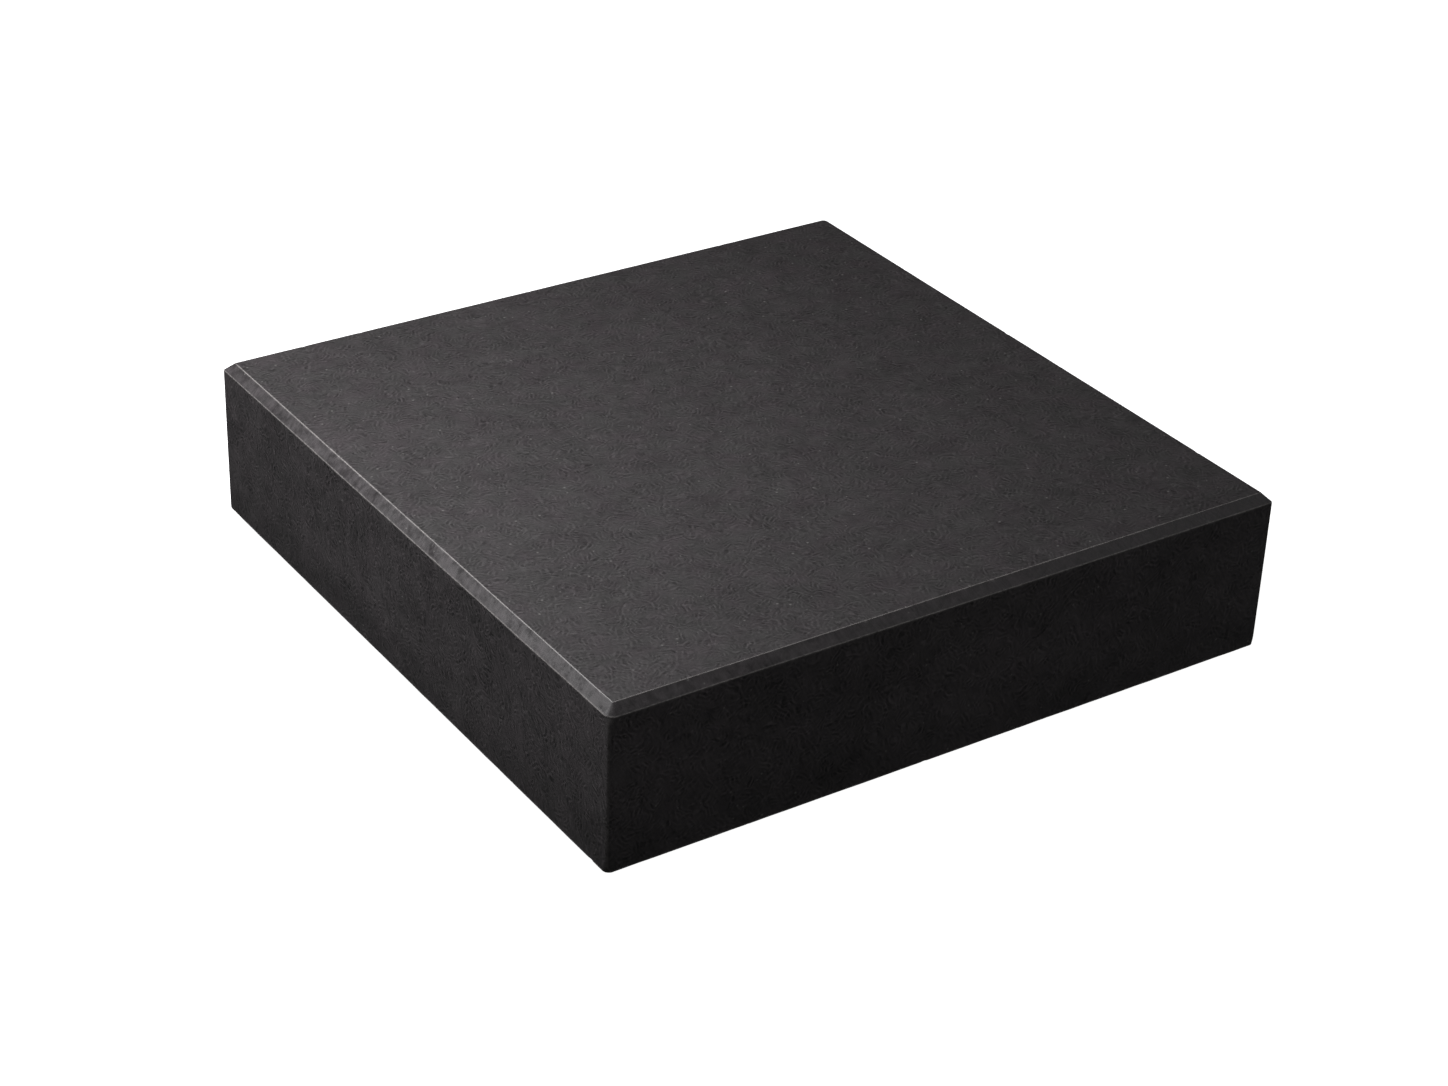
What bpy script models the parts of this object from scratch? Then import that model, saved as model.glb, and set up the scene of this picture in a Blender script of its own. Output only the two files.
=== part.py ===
"""Granite slab for tooling leather on: one honed block of stone on four stick-on rubber feet.

Metres, +Z up, +X to the right, +Y to the rear. The origin is on the bench, under the middle of the
block. The working face is the top of the block.
"""

import math

import bmesh
import bpy
from mathutils import Vector

# Stone block
BLOCK_WIDTH = 0.220
BLOCK_DEPTH = 0.220
BLOCK_THICKNESS = 0.050
TOP_CHAMFER = 0.0027  # leg of the 45 degree chamfer all round the working face
UPRIGHT_CORNER_RADIUS = 0.0007
BOTTOM_CHAMFER = 0.0003  # leg of the eased arris round the underside
CORNER_SEGMENTS = 6

# Rubber feet: short turned pads, wider where they stick to the stone
FOOT_DIAMETER = 0.020
FOOT_HEIGHT = 0.003
FOOT_TAPER = 0.0006  # how much narrower the foot's radius is at the bench
FOOT_EDGE_RADIUS = 0.0008
FOOT_EDGE_MARGIN = 0.015  # from the block's sides in to the rim of a foot
EDGE_SEGMENTS = 5

# Adhesive foam discs between the feet and the stone
DISC_THICKNESS = 0.0008
DISC_RIM_MARGIN = 0.0008  # from a foot's rim in to its disc's rim

SEAT_GAP = 0.0003  # between pieces that rest on each other
TURN_STEPS = 48
MERGE_DISTANCE = 0.00001
SHARP_ANGLE = math.radians(30)

BLOCK_LIFT = FOOT_HEIGHT + SEAT_GAP + DISC_THICKNESS + SEAT_GAP

SIDES = {"left": -1, "right": 1}
ENDS = {"front": -1, "rear": 1}


def clear_scene():
    for old in list(bpy.data.objects):
        bpy.data.objects.remove(old, do_unlink=True)


def finish(name, colour, roughness):
    """A plain non-metallic material."""
    material = bpy.data.materials.new(name)
    material.use_nodes = True
    shader = material.node_tree.nodes["Principled BSDF"]
    shader.inputs["Base Color"].default_value = (*colour, 1.0)
    shader.inputs["Roughness"].default_value = roughness
    shader.inputs["Metallic"].default_value = 0.0
    return material


def shade(mesh):
    """Smooth shading that still breaks at the edges that look sharp."""
    mesh.shade_smooth()
    mesh.set_sharp_from_angle(angle=SHARP_ANGLE)


def place(name, mesh, material, location, collection, parent=None):
    """A new object that shows this mesh, at a place counted from its parent."""
    piece = bpy.data.objects.new(name, mesh)
    if not mesh.materials:
        mesh.materials.append(material)
    collection.objects.link(piece)
    piece.parent = parent
    piece.location = location
    return piece


def edges_at_height(solid, height):
    """The edges that lie flat at one height, such as the rim of the block's underside."""
    return [
        edge
        for edge in solid.edges
        if all(abs(corner.co.z - height) < MERGE_DISTANCE for corner in edge.verts)
    ]


def upright_edges(solid):
    return [
        edge
        for edge in solid.edges
        if abs(edge.verts[0].co.z - edge.verts[1].co.z) > MERGE_DISTANCE
    ]


def round_or_chamfer(solid, edges, leg, segments):
    bmesh.ops.bevel(
        solid,
        geom=edges,
        offset=leg,
        offset_type="OFFSET",
        segments=segments,
        profile=0.5,
        affect="EDGES",
        clamp_overlap=False,
    )


def cut_top_chamfer(solid):
    """Cuts the top's four edges away with a 45 degree plane each. The planes meet in a mitre, so
    the working face keeps sharp corners however the upright edges are rounded."""
    for across, half_side in (((1, 0, 0), BLOCK_WIDTH / 2), ((0, 1, 0), BLOCK_DEPTH / 2)):
        for way in (-1, 1):
            outward = Vector(across) * way
            cut = bmesh.ops.bisect_plane(
                solid,
                geom=solid.verts[:] + solid.edges[:] + solid.faces[:],
                plane_co=outward * half_side + Vector((0.0, 0.0, BLOCK_THICKNESS - TOP_CHAMFER)),
                plane_no=outward + Vector((0.0, 0.0, 1.0)),
                clear_outer=True,
            )
            rim = [part for part in cut["geom_cut"] if isinstance(part, bmesh.types.BMEdge)]
            bmesh.ops.contextual_create(solid, geom=rim)


def block_mesh():
    """The stone block, standing on its own underside: a box with its upright edges rounded first,
    then eased round the bottom and chamfered round the top."""
    solid = bmesh.new()
    bmesh.ops.create_cube(solid, size=1.0)
    bmesh.ops.translate(solid, vec=(0.0, 0.0, 0.5), verts=solid.verts)
    bmesh.ops.scale(solid, vec=(BLOCK_WIDTH, BLOCK_DEPTH, BLOCK_THICKNESS), verts=solid.verts)
    round_or_chamfer(solid, upright_edges(solid), UPRIGHT_CORNER_RADIUS, CORNER_SEGMENTS)
    round_or_chamfer(solid, edges_at_height(solid, 0.0), BOTTOM_CHAMFER, 1)
    cut_top_chamfer(solid)
    bmesh.ops.remove_doubles(solid, verts=solid.verts, dist=MERGE_DISTANCE)
    bmesh.ops.recalc_face_normals(solid, faces=solid.faces)
    mesh = bpy.data.meshes.new("stone_block")
    solid.to_mesh(mesh)
    solid.free()
    shade(mesh)
    return mesh


def turned_mesh(name, profile):
    """A closed solid turned round Z. The profile's (radius, height) points run from the axis at the
    top, out and down the side, and back to the axis at the bottom."""
    outline = bpy.data.meshes.new(name + "_outline")
    points = [(radius, 0.0, height) for radius, height in profile]
    outline.from_pydata(points, [(i, i + 1) for i in range(len(points) - 1)], [])
    lathe = bpy.data.objects.new(name + "_lathe", outline)
    bpy.context.scene.collection.objects.link(lathe)
    screw = lathe.modifiers.new("Turn", "SCREW")
    screw.axis = "Z"
    screw.steps = TURN_STEPS
    screw.render_steps = TURN_STEPS
    screw.use_merge_vertices = True
    screw.merge_threshold = MERGE_DISTANCE
    bpy.context.view_layer.update()
    graph = bpy.context.evaluated_depsgraph_get()
    mesh = bpy.data.meshes.new_from_object(lathe.evaluated_get(graph))
    mesh.name = name
    bpy.data.objects.remove(lathe, do_unlink=True)
    bpy.data.meshes.remove(outline)
    shade(mesh)
    return mesh


def foot_profile():
    """A flat top, a side that leans in on the way down, and a quarter round into the flat sole."""
    top_radius = FOOT_DIAMETER / 2
    sole_radius = top_radius - FOOT_TAPER
    profile = [(0.0, FOOT_HEIGHT), (top_radius, FOOT_HEIGHT)]
    for step in range(EDGE_SEGMENTS + 1):
        turn = math.pi / 2 * step / EDGE_SEGMENTS
        radius = sole_radius - FOOT_EDGE_RADIUS * (1 - math.cos(turn))
        height = FOOT_EDGE_RADIUS * (1 - math.sin(turn))
        profile.append((radius, height))
    profile.append((0.0, 0.0))
    return profile


def disc_profile():
    radius = FOOT_DIAMETER / 2 - DISC_RIM_MARGIN
    return [(0.0, DISC_THICKNESS), (radius, DISC_THICKNESS), (radius, 0.0), (0.0, 0.0)]


def add_feet(block, collection):
    """A foot and its adhesive disc under each corner of the block, hung from its underside."""
    rubber = finish("rubber", (0.013, 0.013, 0.014), 0.8)
    foam = finish("adhesive_foam", (0.09, 0.09, 0.092), 0.9)
    foot = turned_mesh("rubber_foot", foot_profile())
    disc = turned_mesh("adhesive_disc", disc_profile())
    in_from_side = FOOT_EDGE_MARGIN + FOOT_DIAMETER / 2
    disc_base = -SEAT_GAP - DISC_THICKNESS
    foot_base = disc_base - SEAT_GAP - FOOT_HEIGHT
    for end, rearward in ENDS.items():
        for side, rightward in SIDES.items():
            x = rightward * (BLOCK_WIDTH / 2 - in_from_side)
            y = rearward * (BLOCK_DEPTH / 2 - in_from_side)
            corner = f"{end}_{side}"
            place("adhesive_disc_" + corner, disc, foam, (x, y, disc_base), collection, block)
            place("rubber_foot_" + corner, foot, rubber, (x, y, foot_base), collection, block)


def main():
    clear_scene()
    collection = bpy.data.collections.new("granite_slab")
    bpy.context.scene.collection.children.link(collection)
    stone = finish("honed_granite", (0.036, 0.034, 0.035), 0.5)
    block = place("stone_block", block_mesh(), stone, (0.0, 0.0, BLOCK_LIFT), collection)
    add_feet(block, collection)
    bpy.context.view_layer.update()


main()
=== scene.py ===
# %% [markdown]
# # A granite slab for tooling leather
#
# Leather is stamped, tooled and punched on a heavy block of stone, because stone doesn't bounce
# under the mallet. This one is a square of near-black stone, sawn about 50 mm thick. Its working
# face is honed flat and matt, the edge of that face is chamfered so that it doesn't chip or mark
# the leather, and the block stands on four stick-on rubber feet.
#
# The solid model comes first. It holds the sizes and places, and everything below is laid over it:
# the camera, the stone's real surface, the feet, and the light in the studio.

# %% Load the solid model
import itertools
import math

import bpy
import numpy as np
from mathutils import Matrix, Vector


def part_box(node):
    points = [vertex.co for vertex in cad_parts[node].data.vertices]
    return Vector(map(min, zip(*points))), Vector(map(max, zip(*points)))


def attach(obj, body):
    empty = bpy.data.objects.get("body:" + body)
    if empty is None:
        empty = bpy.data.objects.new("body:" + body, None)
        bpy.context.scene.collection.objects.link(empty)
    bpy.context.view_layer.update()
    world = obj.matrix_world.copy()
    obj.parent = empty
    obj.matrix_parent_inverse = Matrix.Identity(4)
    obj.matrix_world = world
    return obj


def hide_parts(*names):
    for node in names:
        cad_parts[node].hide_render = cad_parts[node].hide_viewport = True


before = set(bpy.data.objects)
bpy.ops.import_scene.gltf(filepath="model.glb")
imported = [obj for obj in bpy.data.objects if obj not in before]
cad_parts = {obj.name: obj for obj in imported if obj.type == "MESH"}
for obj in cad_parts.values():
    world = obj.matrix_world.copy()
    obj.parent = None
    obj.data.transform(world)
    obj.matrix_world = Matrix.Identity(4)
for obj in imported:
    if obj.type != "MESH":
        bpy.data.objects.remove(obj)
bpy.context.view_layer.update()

MM = 0.001
block_low, block_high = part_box("stone_block")
block_size = block_high - block_low
print("block, mm:", [round(side / MM, 2) for side in block_size])

# %% [markdown]
# ## The camera
#
# The block is seen across its near corner, from 30 degrees up, through a long lens, so that its
# sides converge only a little. Far back and zoomed in keeps a square looking square. The camera
# leans a little to one side, as a hand-held one does.

# %% Place the camera
CAMERA_AZIMUTH = math.radians(-34.52)
CAMERA_ELEVATION = math.radians(29.99)
CAMERA_LEAN = math.radians(2.25)
CAMERA_DISTANCE = 3.989 * block_size.x
AIM_RIGHT = -0.070 * block_size.x
AIM_BACK = -0.089 * block_size.x
LENS_MM = 76.03
SENSOR_MM = 36.0


def from_azimuth(azimuth, elevation):
    """The direction of a point at that azimuth, counted from -Y towards +X, and that elevation."""
    level = math.cos(elevation)
    return Vector((math.sin(azimuth) * level, -math.cos(azimuth) * level, math.sin(elevation)))


def place_camera():
    """A camera looks along its own -Z, so its +Z points back from the aim to where it stands."""
    back = from_azimuth(CAMERA_AZIMUTH, CAMERA_ELEVATION)
    aim = Vector((AIM_RIGHT, AIM_BACK, (block_low.z + block_high.z) / 2))
    data = bpy.data.cameras.new("bench_camera")
    data.lens = LENS_MM
    data.sensor_width = SENSOR_MM
    camera = bpy.data.objects.new("bench_camera", data)
    lean = Matrix.Rotation(CAMERA_LEAN, 4, "Z")
    level_view = back.to_track_quat("Z", "Y").to_matrix().to_4x4()
    camera.matrix_world = Matrix.Translation(aim + back * CAMERA_DISTANCE) @ level_view @ lean
    bpy.context.scene.collection.objects.link(camera)
    bpy.context.scene.camera = camera
    return camera


camera = place_camera()
print("camera at, m:", [round(value, 3) for value in camera.matrix_world.translation])

# %% [markdown]
# ## Random heights that repeat
#
# Stone is uneven at every scale, so several shapes below need random heights that change smoothly
# from place to place and are the same each run. Value noise does that: random numbers on the
# corners of a lattice of cubes, blended inside each cube.

# %% Value noise on whole arrays
LATTICE_TABLE = 4096
LATTICE_STEPS = np.array([73, 1579, 2833])


def lumps(points, size, seed):
    """Heights from 0 to 1 in lumps of this size. Each lattice corner has a random height, and a
    point takes the heights of the eight corners round it, blended along each side of its cube by
    3 t^2 - 2 t^3, where t is how far across the cube it is."""
    table = np.random.default_rng(seed).random(LATTICE_TABLE)
    cells = points / size
    corner = np.floor(cells).astype(int)
    across = cells - corner
    blend = across * across * (3 - 2 * across)
    total = np.zeros(points.shape[:-1])
    for far_side in itertools.product((0, 1), repeat=3):
        share = np.prod(np.where(far_side, blend, 1 - blend), axis=-1)
        total += share * table[(corner + far_side) @ LATTICE_STEPS % LATTICE_TABLE]
    return total


def wandering(spread, points, size, seed):
    """Lumps that run from spread[0] to spread[1] instead of from 0 to 1."""
    return spread[0] + (spread[1] - spread[0]) * lumps(points, size, seed)


print("a few heights:", lumps(np.array([[0, 0, 0], [1.5, 0.2, 0.7]]), 1.0, 1).round(3))

# %% [markdown]
# ## Closed skins
#
# The block, the feet and the adhesive discs are all closed skins over rings of points. The first
# ring is high and near the middle, the rings spread out, go down the side and close in again
# underneath, and one point closes each end. Going outwards and then anticlockwise, seen from
# above, turns every face outwards.

# %% Turn rings of points into a mesh
def closed_skin(name, rings, top, bottom):
    """A mesh over an array of rings x columns x 3, closed by a fan of triangles at each end. A face
    joins column c and column c + 1 of two neighbouring rings, and the last column joins the first."""
    count = rings.shape[0] * rings.shape[1]
    points = np.concatenate([rings.reshape(-1, 3), [top, bottom]])
    here = np.arange(count).reshape(rings.shape[:2])
    beside = np.roll(here, -1, axis=1)
    sides = np.stack([here[:-1], here[1:], beside[1:], beside[:-1]], axis=-1).reshape(-1, 4)
    top_fan = np.stack([np.full_like(here[0], count), here[0], beside[0]], axis=-1)
    bottom_fan = np.stack([np.full_like(here[0], count + 1), beside[-1], here[-1]], axis=-1)
    mesh = bpy.data.meshes.new(name)
    mesh.from_pydata(points.tolist(), [], sides.tolist() + top_fan.tolist() + bottom_fan.tolist())
    mesh.shade_smooth()
    print(name, "has", len(mesh.polygons), "faces")
    return mesh


def store(mesh, name, values, ends):
    """Keeps one number for each point, for the material to read. The ends are the two fans' points."""
    layer = mesh.attributes.new(name, "FLOAT", "POINT")
    layer.data.foreach_set("value", np.append(values.ravel(), ends).astype(np.float32))


def show(name, mesh, material, stands_for):
    """Puts a finished mesh in the scene in place of a node of the solid model."""
    piece = bpy.data.objects.new(name, mesh)
    mesh.materials.append(material)
    bpy.context.scene.collection.objects.link(piece)
    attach(piece, "root")
    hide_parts(stands_for)
    return piece


# %% [markdown]
# ## Shader maths in plain Python
#
# A finish is a small calculation made at every point of a surface. Written node by node it is hard
# to follow, so a socket is wrapped in a class whose +, -, * and / add the Math nodes, and one
# method adds any other kind of node.

# %% A socket that can be calculated with
class Wire:
    """A node's output socket. Arithmetic on it adds Math nodes and gives a new Wire."""

    def __init__(self, tree, socket):
        self.tree = tree
        self.socket = socket

    def node(self, kind, settings=None, values=None, output=0):
        """Adds a node: first its settings, then the value or the link of each of its sockets."""
        made = self.tree.nodes.new(kind)
        for name, setting in (settings or {}).items():
            setattr(made, name, setting)
        for name, value in (values or {}).items():
            if isinstance(value, Wire):
                self.tree.links.new(value.socket, made.inputs[name])
            else:
                made.inputs[name].default_value = value
        return Wire(self.tree, made.outputs[output])

    def maths(self, operation, *values):
        return self.node("ShaderNodeMath", {"operation": operation}, dict(enumerate(values)))

    def __add__(self, other):
        return self.maths("ADD", self, other)

    def __sub__(self, other):
        return self.maths("SUBTRACT", self, other)

    def __rsub__(self, other):
        return self.maths("SUBTRACT", other, self)

    def __mul__(self, other):
        return self.maths("MULTIPLY", self, other)

    def __truediv__(self, other):
        return self.maths("DIVIDE", self, other)

    __radd__ = __add__
    __rmul__ = __mul__

    def other(self, output):
        """Another output of the same node."""
        return Wire(self.tree, self.socket.node.outputs[output])

    def sine(self):
        return self.maths("SINE", self)

    def most(self, other):
        return self.maths("MAXIMUM", self, other)

    def between(self, low, high):
        """0 below low, 1 above high, and a smooth step from one to the other. Low may be the larger."""
        step = {"interpolation_type": "SMOOTHSTEP"}
        return self.node("ShaderNodeMapRange", step, {"Value": self, "From Min": low, "From Max": high})

    def vector(self, operation, second=(0, 0, 0), output=0):
        """Vector Math on this and a second vector."""
        return self.node("ShaderNodeVectorMath", {"operation": operation}, {0: self, 1: second}, output)

    def shifted(self, x, y, z):
        """A place moved by that much, so that two patterns of the same kind don't match."""
        return self.vector("ADD", (x, y, z))

    def scaled(self, factor):
        """A colour or a place times a number."""
        values = {0: self, "Scale": factor}
        return self.node("ShaderNodeVectorMath", {"operation": "SCALE"}, values)

    def mixed(self, first, second):
        """The first colour where this is 0 and the second where it is 1."""
        return self.node("ShaderNodeMix", {"data_type": "RGBA"}, {0: self, 6: first, 7: second}, 2)

    def noise(self, size, detail=2.0, roughness=0.5, distortion=0.0):
        """Cloudy values round 0.5, in patches of about this size. This Wire is the place."""
        values = {"Vector": self, "Scale": 1 / size, "Detail": detail}
        values.update({"Roughness": roughness, "Distortion": distortion})
        return self.node("ShaderNodeTexNoise", None, values)


# %% Start and end a material
def start_finish(name):
    """A new material with only its shader, and the place on the piece that its patterns read."""
    material = bpy.data.materials.new(name)
    material.use_nodes = True
    tree = material.node_tree
    coordinates = tree.nodes.new("ShaderNodeTexCoord")
    return material, Wire(tree, coordinates.outputs["Object"])


def end_finish(material, colour, roughness, height, bump_depth, specular):
    """Links what the patterns worked out to the shader. The height is in bump_depth's units."""
    shader = material.node_tree.nodes["Principled BSDF"]
    bump = height.node("ShaderNodeBump", None, {"Height": height, "Distance": bump_depth, "Strength": 1.0})
    links = {"Base Color": colour, "Roughness": roughness, "Normal": bump}
    for name, wire in links.items():
        material.node_tree.links.new(wire.socket, shader.inputs[name])
    shader.inputs["Specular IOR Level"].default_value = specular
    print(material.name, "has", len(material.node_tree.nodes), "nodes")
    return material


# %% [markdown]
# ## The block's plan
#
# Seen from above the block is a square with small round corners. A column of points stands at each
# place along that outline. What a column keeps is where it stands, as a share of the way from one
# corner to the next, and the direction outwards. So one set of columns fits an outline of any size
# and any corner radius.

# %% Columns round the block
SIDE_COLUMNS = 380
CORNER_COLUMNS = 12
BLOCK_HALF = block_size.x / 2


def plan_columns():
    """(stands, outward directions) of the columns, in units of the corner's place. Along a side the
    stand runs straight from one corner to the next while the direction stays. Round a corner the
    stand stays while the direction turns by a quarter."""
    corners = np.array([[1, 1], [-1, 1], [-1, -1], [1, -1]])
    along = np.arange(SIDE_COLUMNS)[:, None] / SIDE_COLUMNS
    turn = np.arange(CORNER_COLUMNS) / CORNER_COLUMNS * math.pi / 2
    stands, outward = [], []
    for side in range(4):
        start, end = corners[side], corners[(side + 1) % 4]
        facing = (side + 1) * math.pi / 2
        stands += [start + (end - start) * along, np.repeat(end[None], CORNER_COLUMNS, axis=0)]
        angles = np.concatenate([np.full(SIDE_COLUMNS, facing), facing + turn])
        outward.append(np.stack([np.cos(angles), np.sin(angles)], axis=-1))
    return np.concatenate(stands), np.concatenate(outward)


def per_corner(values):
    """A number for each column from one for each corner: the rear right one, then rear left, front
    left and front right. Along a side they change evenly from one corner's to the next one's."""
    along = np.arange(SIDE_COLUMNS) / SIDE_COLUMNS
    parts = []
    for start, end in zip(values, np.roll(values, -1)):
        parts += [start + (end - start) * along, np.full(CORNER_COLUMNS, end)]
    return np.concatenate(parts)


def outline(inset, radius):
    """Points round a square whose sides are this far inside the block's and whose corners have this
    radius: stand * (half - inset - radius) + outward * radius."""
    return column_stand * (BLOCK_HALF - inset - radius) + column_outward * radius


column_stand, column_outward = plan_columns()
column_turned = 4 * np.abs(column_outward).prod(axis=1) ** 2  # 0 on the sides, 1 halfway round a corner
side_line = outline(0, 1 * MM)
side_at = np.concatenate([side_line, np.zeros((len(side_line), 1))], axis=1)
step_length = np.linalg.norm(np.roll(side_line, -1, axis=0) - side_line, axis=1)
round_length = step_length.sum()
column_along = np.concatenate([[0.0], np.cumsum(step_length)[:-1]])
print(len(side_line), "columns round", round(round_length / MM), "mm")

# %% [markdown]
# ## The block's section
#
# Cut through, the edge of the block is a level face, a 45 degree chamfer, an upright side and an
# eased arris underneath. No arris on real stone is sharp: each one is worn round, by a different
# amount from place to place, and that is what catches the light as a fine broken line. Here each
# arris is a short curve whose reach wanders along the edge.

# %% Rows down the edge
CHAMFER = 2.7 * MM
CHAMFER_WANDER = 0.10 * MM
ARRIS_REACH = 0.20 * MM
BOTTOM_REACH = 0.32 * MM
UPPER_SPREAD = (0.55, 1.45)  # the least and the most of its reach that each arris has
LOWER_SPREAD = (0.45, 1.35)
BOTTOM_SPREAD = (0.7, 1.3)
ARRIS_ROWS = 8
CHAMFER_ROWS = 6
SIDE_ROWS = 14
FACE_SHARES = np.array([0.3, 0.6, 0.82, 0.92, 0.965, 0.982, 0.991, 0.996, 0.9985])
DIAGONAL = math.sqrt(0.5)


def rounded_arris(start, corner, end, rows):
    """Points along a curve that leaves the start towards the corner and arrives at the end from it:
    (1 - q)^2 start + 2 q (1 - q) corner + q^2 end, for q from 0 to 1."""
    q = np.linspace(0, 1, rows)[:, None, None]
    return (1 - q) ** 2 * start + 2 * q * (1 - q) * corner + q ** 2 * end


def straight_rows(start, end, rows):
    """Rows strictly between two lines of points, closer together near both of them:
    share = (1 - cos(pi q)) / 2."""
    q = np.linspace(0, 1, rows + 2)[1:-1, None, None]
    share = (1 - np.cos(math.pi * q)) / 2
    return start + (end - start) * share


def section():
    """Where each column's rows run, as (inset from the side, height above the underside), with the
    row at which each arris is centred."""
    columns = len(side_at)
    tall = block_size.z
    leg = CHAMFER + CHAMFER_WANDER * wandering((-0.5, 0.5), side_at, 24 * MM, 11)
    upper = ARRIS_REACH * wandering(UPPER_SPREAD, side_at, 5 * MM, 12)
    lower = ARRIS_REACH * wandering(LOWER_SPREAD, side_at, 4 * MM, 13)
    bottom = BOTTOM_REACH * wandering(BOTTOM_SPREAD, side_at, 6 * MM, 14)

    def spot(inset, height):
        return np.stack([np.broadcast_to(inset, columns), np.broadcast_to(height, columns)], axis=-1)

    top_end = spot(leg - upper * DIAGONAL, tall - upper * DIAGONAL)
    lower_start = spot(lower * DIAGONAL, tall - leg + lower * DIAGONAL)
    lower_end = spot(0, tall - leg - lower)
    bottom_start = spot(0, bottom)
    parts = [
        rounded_arris(spot(leg + upper, tall), spot(leg, tall), top_end, ARRIS_ROWS),
        straight_rows(top_end, lower_start, CHAMFER_ROWS),
        rounded_arris(lower_start, spot(0, tall - leg), lower_end, ARRIS_ROWS),
        straight_rows(lower_end, bottom_start, SIDE_ROWS),
        rounded_arris(bottom_start, spot(0, 0), spot(bottom, 0), ARRIS_ROWS),
    ]
    corners = {"upper": spot(leg, tall), "lower": spot(0, tall - leg), "bottom": spot(0, 0)}
    return np.concatenate(parts), corners


edge_rows, arris_at = section()
print(len(edge_rows), "rows from the working face to the underside")


# %% Place the rows round the block
# Radius of each upright corner in plan, in the order of per_corner: at the working face, where the
# chamfer ends, halfway down and at the underside. The solid model has 0.7 mm down its sides and sharp
# corners on its working face. The real corners differ a little, and knocks have rounded the front
# left one most. The rear right one is a guess.
TOP_RADII = np.array([1.4, 0.25, 0.25, 0.3]) * MM
SHOULDER_RADII = np.array([2.4, 0.5, 2.8, 0.8]) * MM
MIDDLE_RADII = np.array([1.0, 0.4, 0.85, 0.7]) * MM
BASE_RADII = np.array([1.8, 0.5, 2.0, 1.3]) * MM
KNOCKED_REACH = 1.5 * MM
TOP_INSET = CHAMFER + ARRIS_REACH


def corner_radius(inset, height):
    """Each column's radius in plan. Down the side it is the middle one, which goes over into the
    shoulder's and the base's by exp(-(d / reach)^2), at a distance d from the end. Over the chamfer
    it changes evenly to the top one."""
    top, shoulder, middle, base = [
        per_corner(radii)[:, None] for radii in (TOP_RADII, SHOULDER_RADII, MIDDLE_RADII, BASE_RADII)]
    below_chamfer = np.maximum(block_size.z - CHAMFER - height, 0)
    side = middle + (shoulder - middle) * np.exp(-(below_chamfer / KNOCKED_REACH) ** 2)
    side = side + (base - middle) * np.exp(-(height / KNOCKED_REACH) ** 2)
    share = np.clip(inset / TOP_INSET, 0, 1)
    return side * (1 - share) + top * share


def rings_of(rows):
    """Each row's ring of points, from its (inset, height) in each column."""
    inset, height = rows[..., 0:1], rows[..., 1:2]
    level = outline(inset, corner_radius(inset, height))
    return np.concatenate([level, height + block_low.z], axis=-1)


def shrunk(ring, shares):
    """Copies of a ring drawn in towards the block's middle, each by its share."""
    rings = np.repeat(ring[None], len(shares), axis=0)
    rings[..., :2] *= shares[:, None, None]
    return rings


edge_rings = rings_of(edge_rows)
face_rings = shrunk(edge_rings[0], FACE_SHARES)
base_rings = shrunk(edge_rings[-1], FACE_SHARES[::-1])
rings = np.concatenate([face_rings, edge_rings, base_rings])
print("rings x columns:", rings.shape[:2])

# %% [markdown]
# ## Wear, chips and hand-dressing
#
# Stone doesn't dent, it chips. A knock takes a shell-shaped flake off an arris, a fraction of a
# millimetre deep and a few long, and leaves paler crushed crystals. The chamfer was rubbed down by
# hand, so it is slightly wavy. All of this moves points only inwards, so that the block keeps its
# size.

# %% Distance from each arris
OUTWARD_OF_ARRIS = {"upper": (math.sin(math.radians(22.5)), math.cos(math.radians(22.5))),
                    "lower": (math.cos(math.radians(22.5)), math.sin(math.radians(22.5))),
                    "bottom": (DIAGONAL, -DIAGONAL)}


def distance_to(arris):
    """How far each point of each ring is from that arris's line, in metres."""
    line = rings_of(arris_at[arris][None])[0]
    return np.linalg.norm(rings - line, axis=-1)


arris_distance = {arris: distance_to(arris) for arris in arris_at}

# %% Chip the arrises
CHIPS = {"upper": (36, 0.6), "lower": (60, 0.8), "bottom": (30, 0.5)}  # how many, and how large
CHIP_LENGTHS = (0.35 * MM, 1.5 * MM)
CHIP_DEPTHS = (0.04 * MM, 0.20 * MM)
CHIP_SLENDER = 0.35  # a chip's reach across the arris for each unit of its half length
CHIP_RAGGED = (0.75, 1.25)  # how far in and out of a plain ellipse a chip's outline runs
CHIP_RAGGED_SIZE = 0.8 * MM
FULLY_FRESH = 0.6  # the share of a chip's depth at which all of the surface is fresh stone


def chip_list(arris):
    """(place along the edge, half length, depth) of each chip on one arris. Most are small: their
    size goes with the square of a random number."""
    count, scale = CHIPS[arris]
    rng = np.random.default_rng(sum(map(ord, arris)))
    places = rng.random(count) * round_length
    sizes = rng.random(count) ** 2 * scale
    lengths = CHIP_LENGTHS[0] + (CHIP_LENGTHS[1] - CHIP_LENGTHS[0]) * sizes
    depths = CHIP_DEPTHS[0] + (CHIP_DEPTHS[1] - CHIP_DEPTHS[0]) * sizes
    return list(zip(places, lengths, depths))


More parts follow.
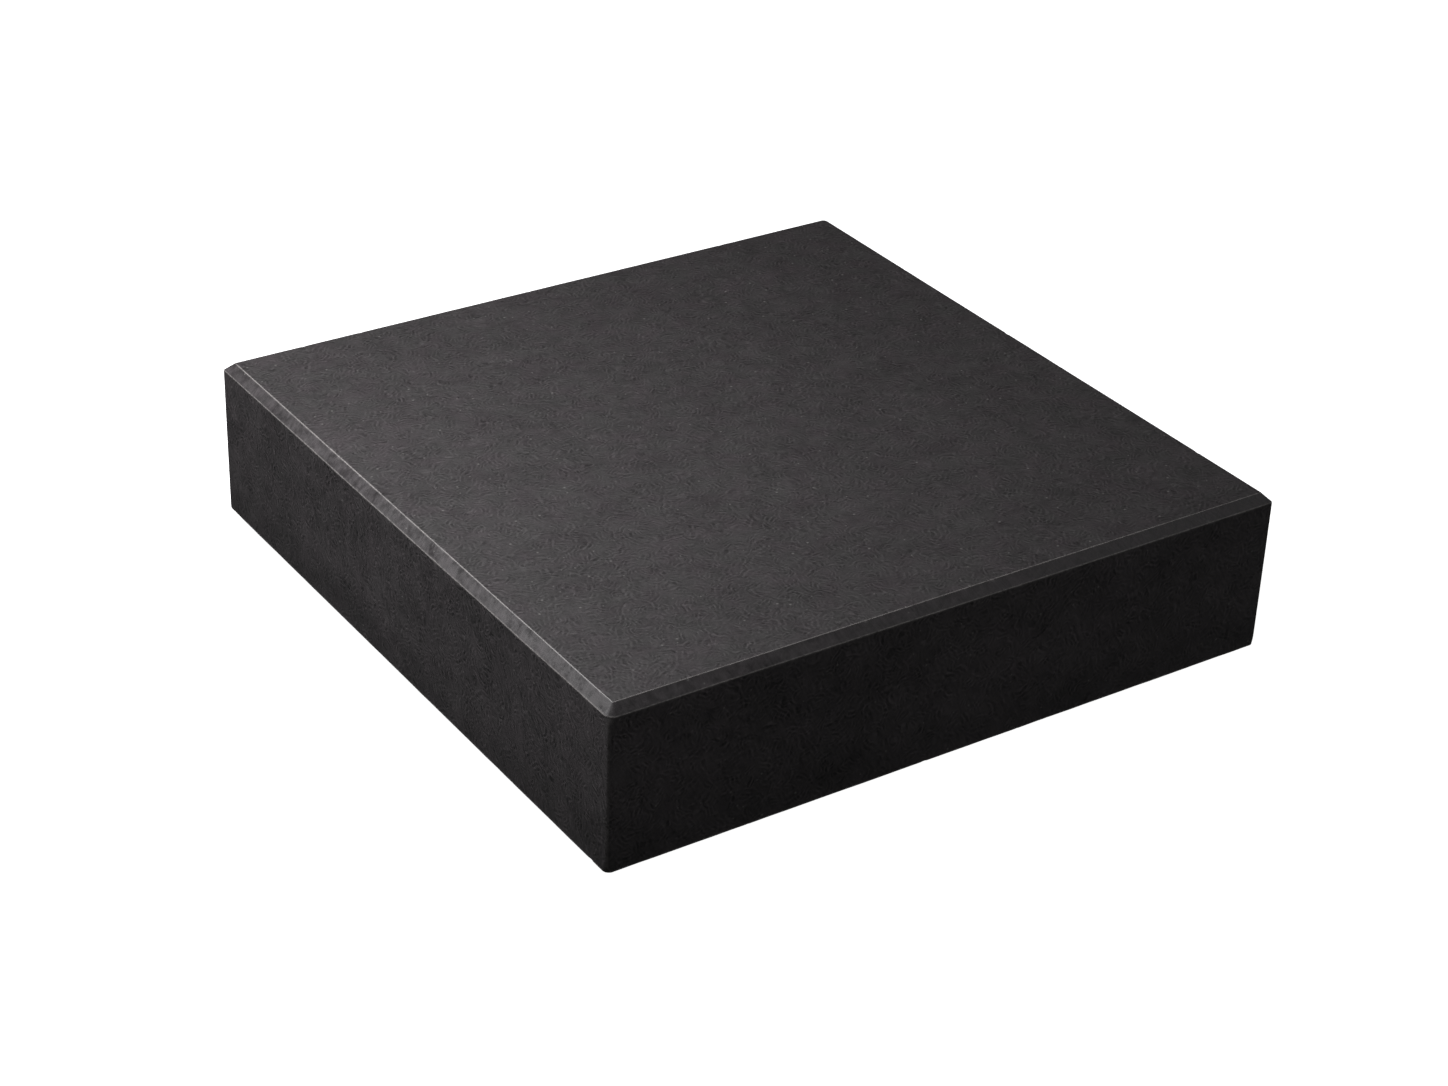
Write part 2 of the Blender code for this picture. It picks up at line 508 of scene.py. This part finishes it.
def chipped(rings):
    """(rings with flakes taken off their arrises, how much of each point is fresh stone). A flake's
    share is sqrt(1 - a^2 - b^2): a is the distance along the edge over the chip's half length, and
    b the distance from the arris over the chip's reach. Lumps make its outline ragged."""
    upward = np.array([0.0, 0.0, 1.0])
    ragged = wandering(CHIP_RAGGED, rings, CHIP_RAGGED_SIZE, 21)
    fresh = np.zeros(rings.shape[:2])
    moved = rings.copy()
    for arris, (level_share, up_share) in OUTWARD_OF_ARRIS.items():
        outward = np.concatenate([column_outward * level_share, np.zeros((len(side_at), 1))], axis=1)
        outward = outward + upward * up_share
        for place, half_length, depth in chip_list(arris):
            apart = (column_along - place + round_length / 2) % round_length - round_length / 2
            reach = half_length * CHIP_SLENDER + 2 * depth
            inside = 1 - (apart / half_length) ** 2 - (arris_distance[arris] / reach / ragged) ** 2
            share = np.sqrt(inside.clip(0, 1))
            moved -= outward * (share * depth)[..., None]
            fresh = np.maximum(fresh, share.clip(0, FULLY_FRESH) / FULLY_FRESH)
    return moved, fresh


rings, fresh_stone = chipped(rings)
print("points on fresh stone:", int((fresh_stone > 0.1).sum()))

# %% Rub the chamfer and the sides down by hand
HAND_WAVE = 0.05 * MM
LONG_WAVE = 14 * MM
SHORT_WAVE = 5 * MM
LONG_SHARE = 0.6
FLAT_MARGIN = 0.5 * MM  # how far from the two flat faces the waves come in fully


def hand_dressed(rings):
    """Rings whose level parts are drawn in by up to HAND_WAVE, in long low waves. Only points that
    lie off the working face and the underside move, so both stay flat."""
    height = rings[..., 2] - block_low.z
    upright = np.clip(np.minimum(height, block_size.z - height) / FLAT_MARGIN, 0, 1)
    wave = lumps(rings, LONG_WAVE, 31) * LONG_SHARE + lumps(rings, SHORT_WAVE, 32) * (1 - LONG_SHARE)
    drawn_in = 1 - HAND_WAVE * wave * upright / (block_size.x / 2)
    waved = rings.copy()
    waved[..., :2] *= drawn_in[..., None]
    return waved


rings = hand_dressed(rings)

# %% [markdown]
# ## Honed black stone
#
# What is sold as black granite is mostly gabbro or dolerite: interlocking crystals a millimetre or
# two long, nearly black, with a few pale flecks of feldspar and tiny dark pits. Honing stops before
# the stone shines, so the face is satin, and each crystal is left a hair higher or lower than the
# next. Cloudy patches lean a little to purple or to green.
#
# Seen close to, the crystals show as short, curved, nested hairlines. Each crystal is a cell of a
# random lattice with a focus outside it, and its hairlines are rings round that focus. The cells'
# random foci keep the hairlines from lining up, and a noise cuts them into short lengths.

# %% The crystal strokes
def crystal_strokes(place, grain, period, bow):
    """Short curved pale hairlines, between -0.4 and 0.6. Each crystal is a cell of a random lattice
    with its own focus, at the distance bow from its middle and in a random direction. The hairlines
    are the upper halves of the rings sin(2 pi distance / period) round that focus, faded out towards
    the crystal's rim."""
    rim = place.node("ShaderNodeTexVoronoi", None, {"Vector": place, "Scale": 1 / grain})
    heading = rim.other("Color").shifted(-0.5, -0.5, -0.5).vector("NORMALIZE").scaled(bow)
    focus = rim.other("Position").vector("ADD", heading)
    away = place.vector("DISTANCE", focus, output="Value")
    return ((away * (2 * math.pi / period)).sine().between(-0.3, 1.0) - 0.4) * rim.between(0.80, 0.35)


def stirred(place, size, amount):
    """Places moved about by up to half of the amount, so that straight things come out wavy."""
    wander = place.noise(size, detail=1.0).other("Color").shifted(-0.5, -0.5, -0.5)
    return place.vector("ADD", wander.scaled(amount))


def flecks(place, spacing, radius, kept):
    """Small round spots, 1 in the middle: the cells of a random lattice, of which the share that is
    kept shows a spot at its centre."""
    values = {"Vector": place, "Scale": 1 / spacing}
    distance = place.node("ShaderNodeTexVoronoi", None, values)
    shade = place.node("ShaderNodeTexVoronoi", None, values, output="Color")
    chosen = shade.node("ShaderNodeSeparateColor", None, {"Color": shade}, output="Red")
    return distance.between(radius / spacing, 0.3 * radius / spacing) * chosen.between(1 - kept, 1.02 - kept)


def attribute(place, name):
    return place.node("ShaderNodeAttribute", {"attribute_name": name}, None, output="Fac")


# %% The stone's colours and patterns
STONE_PURPLE = (0.0348, 0.0302, 0.0325, 1)
STONE_GREEN = (0.0331, 0.0313, 0.0318, 1)
FLECK_COLOUR = (0.17, 0.165, 0.16, 1)
PIT_COLOUR = (0.006, 0.006, 0.006, 1)
# Pale crushed stone, light enough to serve also as a painted highlight along the arrises.
CRUSHED_AND_HIGHLIGHT_COLOUR = (0.26, 0.245, 0.24, 1)

CLOUD_SIZE = 30 * MM
SMUDGE_SIZE = 8 * MM
TINT_SIZE = 8 * MM
MOTTLE_SIZE = 2.6 * MM
BROKEN_SIZE = 1.7 * MM
RAGGED_SIZE = 1.3 * MM
STREAK_SIZE = 0.9 * MM
GRAIN_SIZE = 0.7 * MM
STREAK_LEAN = 0.45  # how far a streak runs along the edge for each unit of height
STREAK_SQUEEZE = 0.22  # how much of the height counts across the streaks: less draws them longer
STIR_SIZE = 2.6 * MM
STIR_AMOUNT = 1.4 * MM
# Size of a crystal, the space between its hairlines, and how far away their focus is
COARSE_CRYSTALS = (4.2 * MM, 1.30 * MM, 6 * MM)
SMALL_CRYSTALS = (3.2 * MM, 1.02 * MM, 4 * MM)
# Spacing, radius and the share of the places that are kept
LARGE_FLECKS = (5.0 * MM, 0.50 * MM, 0.6)
SMALL_FLECKS = (3.4 * MM, 0.36 * MM, 0.3)
PITS = (6.5 * MM, 0.45 * MM, 0.3)

# How strongly a pattern changes the brightness: on the working face, and how much more on the
# sides. The mottle's second number is for the chamfer instead.
STROKES_SHOW = (0.40, 0.38)
GRAIN_SHOWS = (0.38, 0.5)
STREAKS_SHOW = (0.9, 0.4)
SMUDGES_SHOW = (0.55, 0.5)
CLOUDS_SHOW = (0.30, 0.6)
MOTTLE_SHOWS = (0.45, 1.0)
STROKES_LOST_ON_CHAMFER = 0.6
FLECKS_SHOW = 0.42
PITS_SHOW = 0.8
# How far the arrises go over to the pale crushed stone and painted highlight:
WEAR_AND_HIGHLIGHT_SHOWS = 0.8
FRESH_SHOWS = 0.15


def strength(shows, where):
    """shows[0] + shows[1] where: the first number, and the second one more where that Wire is 1."""
    return shows[0] + where * shows[1]


def stone_streaks(place, height):
    """Fine marks that run slantwise down the sides and along the chamfer."""
    unrolled = {"X": attribute(place, "along") + height * STREAK_LEAN, "Y": height * STREAK_SQUEEZE}
    return place.node("ShaderNodeCombineXYZ", None, unrolled).noise(STREAK_SIZE, detail=3.0) - 0.5


def stone_strokes(place, chamfer):
    """Two sizes of crystals on top of each other, cut into short lengths and weaker on the chamfer."""
    wavy = stirred(place, STIR_SIZE, STIR_AMOUNT)
    coarse = crystal_strokes(wavy, *COARSE_CRYSTALS)
    small = crystal_strokes(wavy.shifted(0.7, 0.4, 0.9), *SMALL_CRYSTALS)
    broken = place.shifted(0.11, 0.57, 0.35).noise(BROKEN_SIZE, detail=1.0).between(0.30, 0.60)
    return (coarse + small) * broken * (1 - chamfer * STROKES_LOST_ON_CHAMFER)


# %% The painted shade on the sides
# A thin painted shadow line under the chamfer, and painted shade towards the bottom of the sides.
LINE_TOP = (0.10 * MM, 0.30 * MM)  # where the dark line fades in, below the chamfer
LINE_BOTTOM = (0.75 * MM, 0.45 * MM)  # where it fades out
SHADOW_LINE_DARKENING = 0.4
LOW_RANGE = (22 * MM, 8 * MM)  # heights between which the sides get darker
LOW_SHADE_DARKENING = 0.25


def painted_side_shade(height, upright):
    """What a side's brightness is multiplied by: painted shade, as the real slab shows it. It is less in a
    thin painted shadow line just under the chamfer, and less towards the bottom."""
    arris = block_high.z - CHAMFER
    fade_in = height.between(arris - LINE_TOP[0], arris - LINE_TOP[1])
    fade_out = height.between(arris - LINE_BOTTOM[0], arris - LINE_BOTTOM[1])
    line = 1 - fade_in * fade_out * SHADOW_LINE_DARKENING
    return line * (1 - height.between(*LOW_RANGE) * upright * LOW_SHADE_DARKENING)


# %% The stone's finish
BUMP_UNIT = 0.1 * MM
FACE_ROUGHNESS = 0.46
STONE_GLOSS = 0.4


def honed_stone():
    material, place = start_finish("honed_stone")
    upright = attribute(place, "upright")
    chamfer = attribute(place, "chamfer")
    height = place.node("ShaderNodeSeparateXYZ", None, {"Vector": place}, output="Z")
    clouds = place.noise(CLOUD_SIZE, detail=3.0) - 0.5
    smudges = place.shifted(0.5, 0.1, 0.2).noise(SMUDGE_SIZE, detail=2.0) - 0.5
    mottle = place.shifted(0.2, 0.8, 0.3).noise(MOTTLE_SIZE, detail=1.0) - 0.5
    fine = place.noise(GRAIN_SIZE, detail=2.0) - 0.5
    streaks = stone_streaks(place, height) * upright.most(chamfer)
    strokes = stone_strokes(place, chamfer)
    large_flecks = flecks(place, *LARGE_FLECKS)
    bright = large_flecks.most(flecks(place.shifted(0.2, 0.6, 0.4), *SMALL_FLECKS))
    pits = flecks(place.shifted(0.8, 0.3, 0.1), *PITS)

    shade = 1 + strokes * strength(STROKES_SHOW, upright) + fine * strength(GRAIN_SHOWS, upright)
    shade = shade + streaks * strength(STREAKS_SHOW, upright) + mottle * strength(MOTTLE_SHOWS, chamfer)
    shade = shade + smudges * strength(SMUDGES_SHOW, upright) + clouds * strength(CLOUDS_SHOW, upright)
    # Painted shade on the sides: a thin shadow line under the chamfer, and darker towards the bottom.
    shade = shade * painted_side_shade(height, upright)

    tint = place.shifted(0.3, 0.9, 0.6).noise(TINT_SIZE, detail=3.0).between(0.22, 0.70)
    greener = tint * (1 - upright.most(chamfer) * 0.5)
    colour = greener.mixed(STONE_PURPLE, STONE_GREEN).scaled(shade)
    colour = (bright * FLECKS_SHOW).mixed(colour, FLECK_COLOUR)
    colour = (pits * PITS_SHOW).mixed(colour, PIT_COLOUR)
    ragged = place.shifted(0.1, 0.1, 0.7).noise(RAGGED_SIZE, detail=2.0).between(0.30, 0.60)
    # Pale crushed stone along the arrises and round the chips, which is also a painted highlight on the
    # arrises and down the upright corners.
    worn_arris_and_highlight = attribute(place, "arris") * (0.5 + ragged * 0.5)
    worn_and_highlight = worn_arris_and_highlight.most(attribute(place, "fresh") * FRESH_SHOWS)
    colour = (worn_and_highlight * WEAR_AND_HIGHLIGHT_SHOWS).mixed(colour, CRUSHED_AND_HIGHLIGHT_COLOUR)

    roughness = FACE_ROUGHNESS + fine * 0.20 + strokes * 0.08 + upright * 0.06
    roughness = roughness + (mottle * 0.5 + smudges * 0.4) * chamfer
    relief = strokes * 0.12 + fine * 0.25 + mottle * (0.2 + chamfer * 0.6) + streaks * 0.25 - pits * 0.6
    return end_finish(material, colour, roughness, relief, BUMP_UNIT, STONE_GLOSS)


# %% Wear and painted highlights on the arrises, and the finished block
# The arrises' pale crushed stone is also a painted highlight. On the working face's arris it is strongest at
# the rear left, nearest the soft box, and fades towards the front as painted light.
UPPER_WEAR_AND_HIGHLIGHT = np.array([1.0, 1.45, 0.75, 0.8])  # of the working face's arris, towards each corner
WEAR_AND_HIGHLIGHT_WIDTHS = {"upper": 0.14 * MM * per_corner(UPPER_WEAR_AND_HIGHLIGHT), "lower": 0.16 * MM, "bottom": 0.3 * MM}
# Down the upright corners the pale wear is also a painted highlight.
KNOCKS_AND_HIGHLIGHT = (0.10, 0.40)  # least and most wear and painted highlight on an upright corner
KNOCK_AND_HIGHLIGHT_SIZE = 6 * MM
KNOCKS_AND_HIGHLIGHT_AT_BASE = 1.4  # how much of that shows at the underside
KNOCKS_AND_HIGHLIGHT_AT_TOP = 0.5  # and level with the working face
CHAMFER_FADE = 0.3 * MM
UPRIGHT_FADE = 0.05 * MM


def arris_wear_and_highlight(height):
    """From 0 to 1: exp(-(d / width)^2) at a distance d from each arris, which is pale crushed stone and a
    painted highlight, and lumps of wear and painted highlight down the upright corners, more of them low
    down."""
    wear = sum(np.exp(-(arris_distance[name] / width) ** 2) for name, width in WEAR_AND_HIGHLIGHT_WIDTHS.items())
    beside = np.clip((block_size.z - CHAMFER - height) / MM, 0, 1) * np.clip(height / MM, 0, 1)
    knocks_and_highlight = wandering(KNOCKS_AND_HIGHLIGHT, side_at * [1, 1, 0] + rings * [0, 0, 1], KNOCK_AND_HIGHLIGHT_SIZE, 41)
    knocks_and_highlight *= KNOCKS_AND_HIGHLIGHT_AT_BASE + (KNOCKS_AND_HIGHLIGHT_AT_TOP - KNOCKS_AND_HIGHLIGHT_AT_BASE) * height / block_size.z
    return (wear + knocks_and_highlight * column_turned * beside).clip(0, 1)


def build_block():
    """The block's skin, with what its finish reads at each point: its arris wear and painted highlight, how
    much fresh stone shows, whether it is on the chamfer or on a side, and how far round the block it is."""
    top = (0.0, 0.0, block_high.z)
    bottom = (0.0, 0.0, block_low.z)
    mesh = closed_skin("honed_block", rings, top, bottom)
    height = rings[..., 2] - block_low.z
    below_top = block_size.z - height
    chamfer = np.clip(below_top / CHAMFER_FADE, 0, 1) * np.clip((CHAMFER - below_top) / CHAMFER_FADE, 0, 1)
    upright = np.clip((below_top - CHAMFER) / UPRIGHT_FADE, 0, 1)
    store(mesh, "arris", arris_wear_and_highlight(height), (0, 0))
    store(mesh, "fresh", fresh_stone, (0, 0))
    store(mesh, "chamfer", chamfer, (0, 0))
    store(mesh, "upright", upright, (0, 1))
    store(mesh, "along", np.broadcast_to(column_along, rings.shape[:2]), (0, 0))
    return show("honed_block", mesh, honed_stone(), "stone_block")


block = build_block()

# %% [markdown]
# ## Rubber feet and their adhesive
#
# The feet are small moulded pads, so each is a profile carried round a circle: a flat top, a rim
# that swells a little, a side that leans in, and a quarter round into the sole. A fine bead runs
# round the side where the mould parts. A foam disc that is sticky on both sides holds the foot to
# the sawn underside, and is squeezed out slightly at its rim.

# %% Carry a profile round a circle
ROUND_COLUMNS = 96


def turned(name, profile, centre):
    """A closed skin from (radius, height) rows, carried round the upright axis through the centre:
    x = radius cos(a), y = radius sin(a), for a once round."""
    angle = np.arange(ROUND_COLUMNS) / ROUND_COLUMNS * 2 * math.pi
    radius, height = profile[:, 0:1], profile[:, 1:2]
    around = [centre.x + radius * np.cos(angle), centre.y + radius * np.sin(angle)]
    rings = np.stack([*around, np.broadcast_to(height, (len(profile), ROUND_COLUMNS))], axis=-1)
    top = (centre.x, centre.y, profile[0, 1])
    bottom = (centre.x, centre.y, profile[-1, 1])
    return closed_skin(name, rings, top, bottom)


# %% The foot's and the disc's profiles
RIM_ROUND = 0.25 * MM
SOLE_ROUND = 0.8 * MM
SIDE_LEAN = 0.6 * MM
BEAD = 0.06 * MM
BEAD_AT = 0.35  # how far down the side it runs
BEAD_WIDTH = 0.06


def quarter(centre_radius, centre_height, size, start, rows=7):
    """A quarter circle that turns clockwise from the start angle, as (radius, height) rows."""
    angle = np.radians(start) - np.linspace(0, math.pi / 2, rows)
    return np.stack([centre_radius + size * np.cos(angle), centre_height + size * np.sin(angle)], axis=-1)


def foot_profile(low, high):
    """From the middle of the top out over the rim, down the leaning side and in under the sole."""
    radius = (high.x - low.x) / 2
    inner = np.linspace(0.15, 0.93, 8)[:, None] * [radius, 0] + [0, high.z]
    rim = quarter(radius - RIM_ROUND, high.z - RIM_ROUND, RIM_ROUND, 90)
    share = np.linspace(0, 1, 13)[1:-1]
    drop = (high.z - RIM_ROUND) - (low.z + SOLE_ROUND)
    bead = BEAD * np.exp(-((share - BEAD_AT) / BEAD_WIDTH) ** 2)
    side = np.stack([radius - SIDE_LEAN * share + bead, high.z - RIM_ROUND - drop * share], axis=-1)
    sole = quarter(radius - SIDE_LEAN - SOLE_ROUND, low.z + SOLE_ROUND, SOLE_ROUND, 0)
    under = np.linspace(0.85, 0.15, 8)[:, None] * [radius - SIDE_LEAN, 0] + [0, low.z]
    return np.concatenate([inner, rim, side, sole, under])


def disc_profile(radius, low, high):
    """A flat disc whose rim bulges by an eighth of its height, as squeezed foam does."""
    half = (high - low) / 2
    turn = np.linspace(math.pi / 2, -math.pi / 2, 11)
    rim = np.stack([radius + half / 4 * np.cos(turn), low + half + half * np.sin(turn)], axis=-1)
    inner = np.linspace(0.2, 0.95, 5)[:, None]
    return np.concatenate([inner * [radius, 0] + [0, high], rim, inner[::-1] * [radius, 0] + [0, low]])


# %% Moulded rubber and foam
RUBBER_BLACK = (0.011, 0.011, 0.0115, 1)
RUBBER_DUSTY = (0.032, 0.031, 0.030, 1)
FOAM_GREY = (0.075, 0.075, 0.078, 1)
FOAM_CELL = (0.035, 0.035, 0.037, 1)
CELL_SIZE = 0.25 * MM
DUST_SIZE = 2.5 * MM
MOULD_TEXTURE = 0.25 * MM


def moulded_rubber():
    """Dull black rubber with a fine mould texture, paler where dust sits in it."""
    material, place = start_finish("moulded_rubber")
    dust = place.noise(DUST_SIZE, detail=4.0).between(0.45, 0.75)
    texture = place.noise(MOULD_TEXTURE, detail=2.0)
    colour = (dust * 0.5).mixed(RUBBER_BLACK, RUBBER_DUSTY)
    roughness = 0.66 + texture * 0.12 + dust * 0.08
    return end_finish(material, colour, roughness, texture, 0.03 * MM, 0.35)


def adhesive_foam():
    """Grey acrylic foam, whose cut rim shows small open cells."""
    material, place = start_finish("adhesive_foam")
    cells = place.node("ShaderNodeTexVoronoi", {"feature": "F1"}, {"Vector": place, "Scale": 1 / CELL_SIZE})
    open_cell = cells.between(0.5, 0.2)
    colour = open_cell.mixed(FOAM_GREY, FOAM_CELL)
    roughness = 0.85 - open_cell * 0.08
    return end_finish(material, colour, roughness, 1 - open_cell, 0.05 * MM, 0.3)


# %% Build the four feet and their discs
TUCK = 0.02 * MM  # how far a disc is pressed into the foot and the stone


def build_feet():
    rubber = moulded_rubber()
    foam = adhesive_foam()
    for end, side in itertools.product(("front", "rear"), ("left", "right")):
        corner = f"{end}_{side}"
        low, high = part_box("rubber_foot_" + corner)
        centre = (low + high) / 2
        mesh = turned("moulded_foot_" + corner, foot_profile(low, high), centre)
        show(mesh.name, mesh, rubber, "rubber_foot_" + corner)
        disc_low, disc_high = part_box("adhesive_disc_" + corner)
        radius = (disc_high.x - disc_low.x) / 2
        profile = disc_profile(radius, high.z - TUCK, block_low.z + TUCK)
        mesh = turned("foam_disc_" + corner, profile, centre)
        show(mesh.name, mesh, foam, "adhesive_disc_" + corner)


build_feet()

# %% [markdown]
# ## The studio
#
# The block stands on a plain white floor under one soft box, which hangs a quarter of a metre above
# it, to the left and a little to the rear. Smooth panels in the surroundings do the rest: one at the
# left rear lifts the left side and its chamfer, one at the right lights the front chamfer, one behind
# adds a little sheen to the working face, and weak ones in front and at the far right keep the dark
# sides readable.

# %% The soft box
KEY_PLACE = Vector((-0.19, 0.065, 0.315))
KEY_SIZE = 0.20
KEY_WATTS = 2.05
LIT_SPOT = Vector((0, 0, 0.03))


def soft_box():
    """An area lamp turned to face the block. The camera doesn't see it."""
    data = bpy.data.lights.new("soft_box", "AREA")
    data.size = KEY_SIZE
    data.energy = KEY_WATTS
    lamp = bpy.data.objects.new("soft_box", data)
    facing = (KEY_PLACE - LIT_SPOT).to_track_quat("Z", "Y").to_matrix().to_4x4()
    lamp.matrix_world = Matrix.Translation(KEY_PLACE) @ facing
    lamp.visible_camera = False
    bpy.context.scene.collection.objects.link(lamp)
    return lamp


soft_box()

# %% Floor and surroundings
FLOOR_HALF = 30.0
FLOOR_GLOW = 1.0
BACKDROP = 1.0
AMBIENT = 0.004
PANELS = {
    # name: (direction, how tight, brightness)
    "left_rear": ((-0.75, 0.65, 0.15), 4, 0.33),
    "behind": ((-0.25, 0.93, 0.25), 30, 0.20),
    "front": ((-0.20, -0.95, 0.20), 2, 0.21),
    "right": ((0.80, -0.45, 0.40), 20, 0.96),
    "far_right": ((0.98, 0.12, -0.05), 6, 0.30),
}


def white_floor():
    """A wide white floor that glows a little by itself, as a lit-through table does. The block
    doesn't see it, as if black cards stood in front of its sides."""
    mesh = bpy.data.meshes.new("floor")
    corners = [(-1, -1), (1, -1), (1, 1), (-1, 1)]
    mesh.from_pydata([(x * FLOOR_HALF, y * FLOOR_HALF, 0.0) for x, y in corners], [], [(0, 1, 2, 3)])
    material = bpy.data.materials.new("white_floor")
    material.use_nodes = True
    shader = material.node_tree.nodes["Principled BSDF"]
    shader.inputs["Base Color"].default_value = (0.8, 0.8, 0.8, 1)
    shader.inputs["Roughness"].default_value = 0.9
    shader.inputs["Specular IOR Level"].default_value = 0.0
    shader.inputs["Emission Color"].default_value = (1, 1, 1, 1)
    shader.inputs["Emission Strength"].default_value = FLOOR_GLOW
    mesh.materials.append(material)
    floor = bpy.data.objects.new("floor", mesh)
    floor.visible_diffuse = False
    floor.visible_glossy = False
    bpy.context.scene.collection.objects.link(floor)
    return floor


def surroundings():
    """What the block sees all round: dim walls with a few soft bright panels. A panel's brightness
    falls off as cos(angle from its middle) to the power of its tightness. The camera sees white."""
    world = bpy.data.worlds.new("studio")
    bpy.context.scene.world = world
    world.use_nodes = True
    tree = world.node_tree
    way = Wire(tree, tree.nodes.new("ShaderNodeTexCoord").outputs["Generated"])
    light = AMBIENT
    for direction, tightness, brightness in PANELS.values():
        facing = tuple(Vector(direction).normalized())
        cosine = way.vector("DOT_PRODUCT", facing, output="Value").most(0)
        light = cosine.maths("POWER", cosine, tightness) * brightness + light
    to_camera = Wire(tree, tree.nodes.new("ShaderNodeLightPath").outputs["Is Camera Ray"])
    strength = to_camera * (BACKDROP - light) + light
    tree.links.new(strength.socket, tree.nodes["Background"].inputs["Strength"])
    tree.nodes["Background"].inputs["Color"].default_value = (1, 1, 1, 1)


white_floor()
surroundings()
bpy.context.scene.view_settings.view_transform = "Standard"
